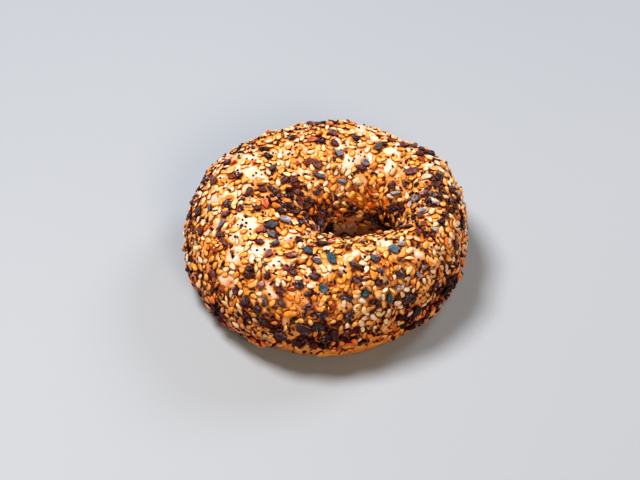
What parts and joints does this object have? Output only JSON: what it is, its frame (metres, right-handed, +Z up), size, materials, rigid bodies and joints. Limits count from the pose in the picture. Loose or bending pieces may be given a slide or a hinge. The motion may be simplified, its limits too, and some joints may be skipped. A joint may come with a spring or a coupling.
{
  "type": "bagel",
  "caption": "Thick ring of baked dough with an off-centre oval hole and a coat of sesame seeds, poppy seeds and dried onion flakes, lying flat.",
  "frame": {"origin": "on the surface it lies on, under the middle of the ring's outline", "axes": "+Z up out of the flat foot, -Y towards the side shown nearest in the picture, +X towards the ring's thinner side"},
  "size_m": [0.1125, 0.11, 0.0428],
  "materials": {
    "bagel": "baked dough, satin, with a soft gloss where the pale crust shows between the seeds",
    "sesame_seed": "toasted seed, satin",
    "poppy_seed": "matt black seed",
    "onion_flake": "charred dried flake, satin",
    "garlic_flake": "dried flake, a little translucent"
  },
  "bodies": {
    "root": {"bagel": "bagel"}
  },
  "joints": []
}
